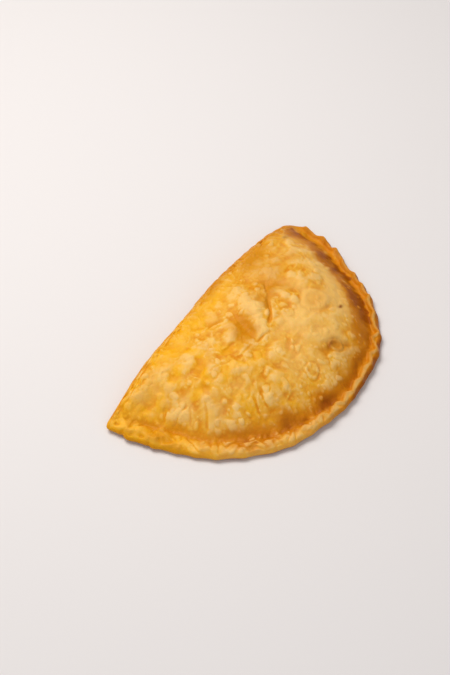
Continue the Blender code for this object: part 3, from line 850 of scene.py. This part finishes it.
@dataclass(frozen=True)
class FryingMarksAndShade:
    """How each place of the skin was coloured, painted shade and highlight included, as values from 0 to
    1 for the dough's finish.
    """

    profile: Profile

    @property
    def plan(self) -> Plan:
        """The outline."""
        return self.profile.plan

    def rise(self, relief: Array, fine_spread: float, wide_spread: float) -> Array:
        """How far the skin stands over its surroundings: 0.5 is level, 1 a ridge, 0 a hollow."""
        fine = relief - blurred(relief, fine_spread)
        wide = relief - blurred(relief, wide_spread)
        return np.clip(0.5 + 0.55 * fine + 0.35 * wide, 0.0, 1.0)

    def patched(self, patches: tuple[Swelling, ...], place: Place, sway: float) -> Array:
        """Soft patches with ragged edges."""
        x, y = swayed(place.x, place.y, sway, 5.0, (101.0, 103.0))
        found = np.zeros_like(place.x)
        for patch in patches:
            patch.raise_skin(found, x, y)
        return np.clip(found, 0.0, 1.0)

    def browning_and_shade(self, place: Place) -> Array:
        """Deep golden brown in the channel round the crown, by the blunt tip and low on the fold; partly
        painted shade in the channel, on the flank by the blunt tip and on the rim's outer side.
        """
        coarse, fine = place.noise(13.0, 61.0), place.noise(3.5, 67.0)
        by_tip = smoothstep(0.65, 0.4, place.turn)
        depth = place.in_rim - 4.0 * by_tip + 2.0 * coarse + 1.2 * fine
        patchy = 0.85 + 0.3 * place.noise(11.0, 69.0) + 0.12 * fine
        channel = self.channel_brown_and_shade(place, depth, patchy) * (0.9 - 0.3 * by_tip)
        # painted shade with browning: the crown's flank by the blunt tip, which faces away from the
        # light
        shade = smoothstep(4.0, 7.0, depth) * smoothstep(25.5, 11.0, depth)
        flakes = smoothstep(0.25, 0.5, shade + 0.3 * coarse + 0.25 * fine)
        flank_brown_and_shade = shade * (0.6 + 0.7 * flakes) * (1.0 - 0.3 * by_tip) * smoothstep(1.6, 0.85, place.turn)
        found = patchy * np.max([channel, flank_brown_and_shade, self.bead_brown_and_side_shade(place)], axis=0)
        found *= smoothstep(2.0, 9.0, place.in_fold)
        return np.clip(np.maximum(found, self.brown_under_fold(place)), 0.0, 1.0)

    def channel_brown_and_shade(self, place: Place, depth: Array, patchy: Array) -> Array:
        """The channel round the crown, browned and darkened as painted shade at the crown's steep foot:
        broadly in front and hardly at the sharp tip.

        Args:
            place: Places of the skin's points.
            depth: How far they are inside the rim, made ragged.
            patchy: How readily each place took colour.

        Returns:
            How brown each place is, painted shade included.
        """
        width = self.plan.rim_width(place.turn)
        near = smoothstep(2.55, 2.25, place.turn)
        front = near * smoothstep(1.5, 1.8, place.turn)
        inward = 3.2 + (1.4 + 6.0 * np.maximum(patchy - 0.75, 0.0)) * front
        inward += 3.0 * bump(place.turn, 1.45, 0.3)
        outward = 2.0 + near + 2.0 * front + 4.0 * bump(place.turn, 2.3, 0.3)
        spread = np.where(depth > width, inward, outward)
        found = bump(depth, width + 0.5 - 1.5 * (1.0 - near), spread)
        return found * (0.55 + 0.4 * near) * smoothstep(3.06, 2.9, place.turn)

    def bead_brown_and_side_shade(self, place: Place) -> Array:
        """The rolled bead by the blunt tip, browned, and the outer side of the rim below it, darkened as
        painted shade.
        """
        bead = bump(place.in_rim, self.profile.bead_inset(place.turn) + 0.9, 1.7)
        bead *= 0.65 * smoothstep(1.5, 1.25, place.turn)
        # painted shade: the rim's outer side, turned away from the light, down to where it meets the
        # floor
        lip = 2.6 + smoothstep(1.6, 1.3, place.turn)
        shaded_side = 0.95 * smoothstep(lip, lip - 1.8, place.in_rim) * smoothstep(1.95, 1.55, place.turn)
        return np.maximum(bead, shaded_side)

    def brown_under_fold(self, place: Place) -> Array:
        """Blotches low on the side of the fold."""
        blotch = wander(place.x, 3.0 * place.in_fold, 8.0, 107.0)
        return smoothstep(5.5, 0.5, place.in_fold + 2.0 * blotch) * (0.42 + 0.3 * blotch)

    def pale(self, place: Place) -> Array:
        """The flat rim and the highest places, which the oil hardly coloured, and a cream on the right
        of the crown that is partly painted sheen.
        """
        ragged = place.in_rim + 1.2 * place.noise(6.0, 71.0)
        band = smoothstep(10.0, 5.0, ragged) * smoothstep(1.3, 1.7, place.turn)
        band *= smoothstep(2.75, 2.35, place.turn)
        # partly painted sheen: cream over the right of the crown, more towards the front
        cream_and_sheen = smoothstep(-0.5, 0.3, place.noise(14.0, 105.0)) * smoothstep(-20.0, 20.0, place.x)
        cream_and_sheen *= smoothstep(14.0, 24.0, place.in_rim) * smoothstep(12.0, 24.0, place.in_fold)
        cream_and_sheen *= 0.9 - 0.6 * smoothstep(2.0, 24.0, place.y)
        patches = 0.7 * self.patched(PALE_PATCHES, place, 4.0)
        return np.clip(0.3 * band + np.maximum(patches, cream_and_sheen), 0.0, 1.0)

    def amber(self, place: Place, rise: Array) -> Array:
        """Clear orange gold, in deep hollows, at the sharp tip, on the rim's bead and on the fold."""
        ridge = bump(place.in_rim, self.profile.bead_inset(place.turn) + 0.5, 1.6)
        ridge *= 0.8 * self.plan.rope(place.turn)
        ragged = place.in_rim + 2.5 * place.noise(10.0, 73.0)
        tip = smoothstep(2.3, 2.75, place.turn) * smoothstep(20.0, 10.0, ragged)
        stains = smoothstep(-0.1, 0.35, place.noise(9.0, 75.0)) * smoothstep(3.08, 2.98, place.turn)
        tip *= np.maximum(0.7 * smoothstep(0.5, 0.3, rise), 0.65 * stains)
        fold = smoothstep(14.0, 3.0, place.in_fold + 0.8 * (ragged - place.in_rim))
        fold *= 0.75 * smoothstep(-20.0, 15.0, place.x) + 0.25 * smoothstep(-75.0, -45.0, place.x)
        hollows = self.patched(AMBER_PATCHES, place, 1.5)
        return np.clip(np.max([tip, ridge, 0.9 * fold, 0.9 * hollows], axis=0), 0.0, 1.0)

    def butter(self, place: Place) -> Array:
        """Strong yellow, on the side of the fold and towards the sharp tip."""
        patches = self.patched(BUTTER_PATCHES, place, 2.5)
        by_fold = smoothstep(36.0, 8.0, place.in_fold) * (1.0 - 0.6 * smoothstep(-5.0, 40.0, place.x))
        strewn = smoothstep(0.15, 0.5, place.noise(9.0, 79.0)) * smoothstep(10.0, -40.0, place.x)
        tip = smoothstep(2.4, 2.7, place.turn) * smoothstep(22.0, 12.0, place.in_rim)
        return np.clip(0.5 * by_fold + 0.64 * strewn + 0.64 * patches + tip, 0.0, 1.0)

    def scorch_and_shade(self, place: Place) -> Array:
        """A few small dark marks: burns, and painted shadow in the hollow of a collapsed blister."""
        return self.patched(SCORCHES_AND_SHADE, place, 0.5)


# -------------------------------------------------------------------------------------- finishes


def add_node(
    tree: bpy.types.NodeTree,
    kind: str,
    settings: dict[str, Any] | None = None,
    inputs: dict[int | str, Any] | None = None,
) -> bpy.types.Node:
    """Adds a node with its settings and inputs.

    Args:
        tree: The node tree to add to.
        kind: The node's type name in Blender.
        settings: Properties of the node by name.
        inputs: Inputs by name or number. A socket is linked, and any other value is set.

    Returns:
        The new node.
    """
    node = tree.nodes.new(kind)
    for name, value in (settings or {}).items():
        setattr(node, name, value)
    for name, value in (inputs or {}).items():
        if isinstance(value, bpy.types.NodeSocket):
            tree.links.new(value, node.inputs[name])
        else:
            node.inputs[name].default_value = value
    return node


def new_material(name: str) -> tuple[bpy.types.Material, bpy.types.NodeTree, bpy.types.Node]:
    """A new material, with its node tree and the shader in it."""
    material = bpy.data.materials.new(name)
    material.use_nodes = True
    return material, material.node_tree, material.node_tree.nodes["Principled BSDF"]


@dataclass(frozen=True)
class FriedDough:
    """Wheat dough, rolled thin and deep-fried.

    The skin is dry, blistered starch with a film of oil on it. It is golden where it stood clear of the
    pan, pale on the blisters that dried first and lighter still on the crests as a painted highlight,
    orange in the hollows where oil stayed, and brown where it lay against hot metal. The brown and its
    darker colour are also painted shade in the channel round the crown, on the flank by the blunt tip
    and on the rim's outer side. The oil gives it a soft, broad gloss.
    """

    hollow: str = "#d9880e"  # below, on and above the level of the skin; the top one is partly a painted highlight
    level: str = "#e7a932"
    crest_and_highlight: str = "#efc16f"
    butter: str = "#f0ae06"
    amber: str = "#cc8305"
    # brown and its darker colour: browning, and painted shade on the flank by the blunt tip, in the
    # channel and on the rim's outer side
    browning_and_shade: str = "#c97a05"
    toasted_and_shade: str = "#9c5000"
    pale: str = "#ebb962"
    tan: str = "#d4964a"
    scorch_and_shade: str = "#86400a"
    deepens_from: float = 0.55  # how far the brown, partly painted shade, goes before the darker colour starts
    roughness: float = 0.44
    smoother: float = 0.1  # less of it, where the oil lies thickest
    rougher: float = 0.12  # more of it, where the starch is dry
    ior: float = 1.47  # frying oil
    oil_film: float = 0.14  # thin and broken, so it mirrors less than a pool of oil
    glow: float = 0.12  # share of the light that gets into the dough
    glow_mm: float = 1.5  # how far red light gets
    glow_reach: tuple[float, float, float] = (1.0, 0.5, 0.15)
    grain_mm: float = 0.6
    grain_strength: float = 0.35
    cloud_mm: float = 11.0  # where the skin dried to a duller tan
    mottle_mm: float = 3.2  # patches of starch that took colour unevenly
    pore_mm: float = 0.9  # the finest bubbles, drawn a little coarser than real so that they show

    def make(self) -> bpy.types.Material:
        """Builds the material.

        Returns:
            The material, which reads the frying marks, painted shade and highlight included, from the
            mesh's attributes.
        """
        material, tree, shader = new_material("fried_dough_skin")
        place = add_node(tree, "ShaderNodeTexCoord").outputs["Object"]
        marks = {
            name: add_node(tree, "ShaderNodeAttribute", {"attribute_name": name}).outputs["Fac"]
            for name in ("rise", "browning_and_shade", "pale", "amber", "butter", "scorch_and_shade")
        }
        patterns = ((self.mottle_mm, 4.0), (self.pore_mm, 3.0), (self.cloud_mm, 3.0))
        mottle, pores, clouds = (
            add_node(
                tree,
                "ShaderNodeTexNoise",
                None,
                {"Vector": place, "Scale": 1.0 / (size_mm * MM), "Detail": detail},
            ).outputs[0]
            for size_mm, detail in patterns
        )
        scaled = {"operation": "MULTIPLY_ADD"}
        sums = ((mottle, 0.5, marks["rise"]), (mottle, 0.8, pores), (marks["butter"], 0.75, 0.0))
        height, grain, buttery = (
            add_node(tree, "ShaderNodeMath", scaled, dict(enumerate(terms))).outputs[0] for terms in sums
        )
        ranges = (
            {"Value": clouds, "From Min": 0.48, "From Max": 0.7, "To Max": 0.35},
            {"Value": marks["browning_and_shade"], "From Max": self.deepens_from},
            {"Value": marks["browning_and_shade"], "From Min": self.deepens_from},
            {
                "Value": mottle,
                "To Min": self.roughness - self.smoother,
                "To Max": self.roughness + self.rougher,
            },
        )
        tanned, browning_and_shade, toasted_and_shade, gloss = (
            add_node(tree, "ShaderNodeMapRange", None, inputs).outputs[0] for inputs in ranges
        )

        ramp = add_node(tree, "ShaderNodeValToRGB", None, {0: height})
        # the raised places take the lightest colour, partly as a painted highlight
        stops = ((0.45, self.hollow), (0.72, self.level), (1.0, self.crest_and_highlight))
        ramp.color_ramp.elements.new(1.0)
        for element, (position, tint) in zip(ramp.color_ramp.elements, stops):
            element.position, element.color = position, linear_rgba(tint)
        layers = (  # each laid over the one before
            (tanned, self.tan),
            (buttery, self.butter),
            (marks["pale"], self.pale),
            (marks["amber"], self.amber),
            # the two brown layers hold browning and painted shade
            (browning_and_shade, self.browning_and_shade),
            (toasted_and_shade, self.toasted_and_shade),
            # the darkest layer: burns, and painted shadow in a collapsed blister
            (marks["scorch_and_shade"], self.scorch_and_shade),
        )
        colour = ramp.outputs[0]
        for factor, tint in layers:
            inputs = {0: factor, 6: colour, 7: linear_rgba(tint)}
            colour = add_node(tree, "ShaderNodeMix", {"data_type": "RGBA"}, inputs).outputs[2]
        bumpy = {"Strength": self.grain_strength, "Distance": self.grain_mm * MM, "Height": grain}
        relief = add_node(tree, "ShaderNodeBump", None, bumpy).outputs[0]

        for socket, source in (("Base Color", colour), ("Roughness", gloss), ("Normal", relief)):
            tree.links.new(source, shader.inputs[socket])
        shader.inputs["IOR"].default_value = self.ior
        shader.inputs["Specular IOR Level"].default_value = self.oil_film
        shader.inputs["Subsurface Weight"].default_value = self.glow
        shader.inputs["Subsurface Radius"].default_value = self.glow_reach
        shader.inputs["Subsurface Scale"].default_value = self.glow_mm * MM
        return material


@dataclass(frozen=True)
class MattBoard:
    """A painted studio board: flat, pale and without gloss, so that it only catches soft shadows."""

    colour: str = "#e2dedd"
    roughness: float = 0.85

    def make(self) -> bpy.types.Material:
        """Builds the material."""
        material, _, shader = new_material("matt_board")
        shader.inputs["Base Color"].default_value = linear_rgba(self.colour)
        shader.inputs["Roughness"].default_value = self.roughness
        return material


# -------------------------------------------------------------------------------- sub-assemblies


@dataclass
class Pastry:
    """The cheburek itself: one closed skin of dough.

    Args:
        plan: Its outline.
        finish: What it is made of.
        map_room: How many millimetres of skin the texture map has room for, across.
    """

    plan: Plan = field(default_factory=Plan)
    finish: FriedDough = field(default_factory=FriedDough)
    map_room: float = 245.0

    def build(self) -> bpy.types.Object:
        """Makes the mesh, its marks and its finish, and puts it on the frame.

        Returns:
            The piece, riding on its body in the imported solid's place.
        """
        grid = SkinGrid(self.plan)
        profile = Profile(self.plan, SkinRelief(self.plan))
        x, y, even_x, even_y = grid.spread(1)
        upper = Place.of(self.plan, x, y)
        height, relief = profile.upper(upper)
        low_x, low_y, low_even_x, low_even_y = grid.spread(2)
        _, own = grid.lower_numbers()
        lower = Place.of(self.plan, low_x[own], low_y[own])
        points = np.concatenate(
            [
                np.stack([upper.x.ravel(), upper.y.ravel(), height.ravel()], axis=1),
                np.stack([lower.x, lower.y, profile.lower(lower)], axis=1),
            ]
        )
        faces = grid.upper_faces()
        mesh = bpy.data.meshes.new("dough_skin")
        mesh.from_pydata(self.settled(points) * MM, [], faces + grid.lower_faces())
        mesh.shade_smooth()
        self.mark(mesh, profile, upper, lower, relief)
        even = np.concatenate(
            [
                np.stack([even_x.ravel(), even_y.ravel()], axis=1),
                np.stack([low_even_x[own], low_even_y[own]], axis=1),
            ]
        )
        self.unwrap(mesh, even, len(faces))
        mesh.materials.append(self.finish.make())
        piece = bpy.data.objects.new("dough_skin", mesh)
        bpy.context.scene.collection.objects.link(piece)
        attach(piece, BODY)
        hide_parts(NODE)
        LOG.info("%s: %d points, %d faces", piece.name, len(mesh.vertices), len(mesh.polygons))
        return piece

    def settled(self, points: Array) -> Array:
        """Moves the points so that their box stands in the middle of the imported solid's box."""
        low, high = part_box(NODE)
        middle = (np.array(low) + np.array(high)) / 2.0 / MM
        found = (points.min(axis=0) + points.max(axis=0)) / 2.0
        return points + np.array([*(middle - found)[:2], low[2] / MM - points[:, 2].min()])

    def mark(
        self, mesh: bpy.types.Mesh, profile: Profile, upper: Place, lower: Place, relief: Array
    ) -> None:
        """Stores the frying marks, with the painted shade and highlight, on the mesh.

        Args:
            mesh: The mesh to mark.
            profile: The heights of its skins.
            upper: Places of the upper skin's points.
            lower: Places of the lower skin's own points.
            relief: The upper skin's relief.
        """
        marks = FryingMarksAndShade(profile)
        level = np.full_like(lower.x, 0.5)
        rise = marks.rise(relief, fine_spread=2.5, wide_spread=9.0)
        # less brown on the raised places, partly as a painted highlight
        browning_and_shade = marks.browning_and_shade(upper) * (1.0 - 0.55 * smoothstep(0.6, 0.9, rise))
        values = {
            "rise": (rise, level + 0.25 * wander(lower.x, lower.y, 6.0, 83.0)),
            "browning_and_shade": (browning_and_shade, 0.35 + 0.3 * wander(lower.x, lower.y, 16.0, 89.0)),
            "pale": (marks.pale(upper), smoothstep(14.0, 4.0, lower.inside) * 0.6),
            "amber": (marks.amber(upper, rise), 0.3 * level),
            "butter": (marks.butter(upper), 0.2 * level),
            "scorch_and_shade": (marks.scorch_and_shade(upper), 0.0 * level),
        }
        for name, (above, below) in values.items():
            attribute = mesh.attributes.new(name, "FLOAT", "POINT")
            both = np.concatenate([above.ravel(), np.clip(below, 0.0, 1.0)])
            attribute.data.foreach_set("value", both.astype(np.float32))

    def unwrap(self, mesh: bpy.types.Mesh, even: Array, upper_count: int) -> None:
        """Lays both skins side by side on one texture map.

        Args:
            mesh: The mesh to unwrap.
            even: Plan position of each point, with the edge's narrow rows drawn apart.
            upper_count: How many faces the upper skin has.
        """
        corners = np.empty(len(mesh.loops), np.int32)
        mesh.loops.foreach_get("vertex_index", corners)
        first_below = mesh.polygons[upper_count].loop_start
        lift = np.where(np.arange(len(corners)) < first_below, 0.25, 0.75)
        middle = (even.min(axis=0) + even.max(axis=0)) / 2.0
        spread = (even[corners] - middle) / self.map_room
        flat = np.stack([0.5 + spread[:, 0], lift + spread[:, 1]], axis=1)
        mesh.uv_layers.new(name="OFBake").data.foreach_set("uv", flat.ravel().astype(np.float32))


def add_facing(name: str, data: bpy.types.ID, target: Vector, offset: Vector) -> bpy.types.Object:
    """Adds a lamp or camera that looks at a point.

    Args:
        name: Its name.
        data: The light or camera data.
        target: The point that it looks at.
        offset: Where it stands, from that point.

    Returns:
        The new object.
    """
    piece = bpy.data.objects.new(name, data)
    piece.location = target + offset
    piece.rotation_euler = offset.to_track_quat("Z", "Y").to_euler()
    bpy.context.scene.collection.objects.link(piece)
    return piece


def direction(azimuth: float, elevation: float) -> Vector:
    """A unit vector that far round from -Y towards +X and over the horizon, in degrees."""
    a, e = math.radians(azimuth), math.radians(elevation)
    return Vector((math.sin(a) * math.cos(e), -math.cos(a) * math.cos(e), math.sin(e)))


@dataclass(frozen=True)
class SoftLight:
    """A square soft light that looks at the pastry, placed by its direction and distance in metres."""

    name: str
    azimuth: float
    elevation: float
    distance: float
    size: float
    watts: float
    tint: str

    def build(self) -> None:
        """Adds the light."""
        light = bpy.data.lights.new(self.name, "AREA")
        light.shape, light.size, light.energy = "SQUARE", self.size, self.watts
        light.color = linear_rgba(self.tint)[:3]
        add_facing(self.name, light, Vector(), direction(self.azimuth, self.elevation) * self.distance)


@dataclass
class Studio:
    """Floor, lights and surroundings."""

    floor_size: float = 6.0
    board: MattBoard = field(default_factory=MattBoard)
    window: SoftLight = SoftLight("window_light", 176.0, 64.0, 1.0, 0.6, 8.3, "#fffaf4")
    fill: SoftLight = SoftLight("room_fill", -45.0, 40.0, 1.2, 1.4, 3.0, "#f8faff")
    surroundings: str = "#f4f5f8"
    ambient: float = 0.38

    def build(self) -> None:
        """Sets up everything but the camera."""
        self.make_floor()
        self.window.build()
        self.fill.build()
        world = bpy.data.worlds.new("studio")
        world.use_nodes = True
        background = world.node_tree.nodes["Background"]
        background.inputs["Color"].default_value = linear_rgba(self.surroundings)
        background.inputs["Strength"].default_value = self.ambient
        bpy.context.scene.world = world
        bpy.context.scene.view_settings.view_transform = "Standard"

    def make_floor(self) -> None:
        """A large board just under the pastry."""
        half = self.floor_size / 2.0
        mesh = bpy.data.meshes.new("floor")
        corners = [(-half, -half, 0.0), (half, -half, 0.0), (half, half, 0.0), (-half, half, 0.0)]
        mesh.from_pydata(corners, [], [(0, 1, 2, 3)])
        mesh.materials.append(self.board.make())
        floor = bpy.data.objects.new("floor", mesh)
        bpy.context.scene.collection.objects.link(floor)


@dataclass
class ViewingCamera:
    """The camera, placed by the direction that it looks from and its distance in metres."""

    azimuth: float = -55.5
    elevation: float = 49.9
    distance: float = 0.859
    target: tuple[float, float, float] = (-0.0101, 0.0288, 0.0097)
    focal_pixels: float = 1400.0
    sensor: float = 36.0

    def build(self) -> None:
        """Adds the camera and makes it the scene's."""
        camera = bpy.data.cameras.new("camera")
        camera.sensor_width = self.sensor
        camera.lens = self.focal_pixels * self.sensor / max(IMAGE_SIZE)
        offset = direction(self.azimuth, self.elevation) * self.distance
        bpy.context.scene.camera = add_facing("camera", camera, Vector(self.target), offset)


def main() -> None:
    """Builds the scene."""
    logging.basicConfig(level=logging.INFO, format="%(name)s: %(message)s")
    Pastry().build()
    Studio().build()
    ViewingCamera().build()


if __name__ == "__main__":
    main()
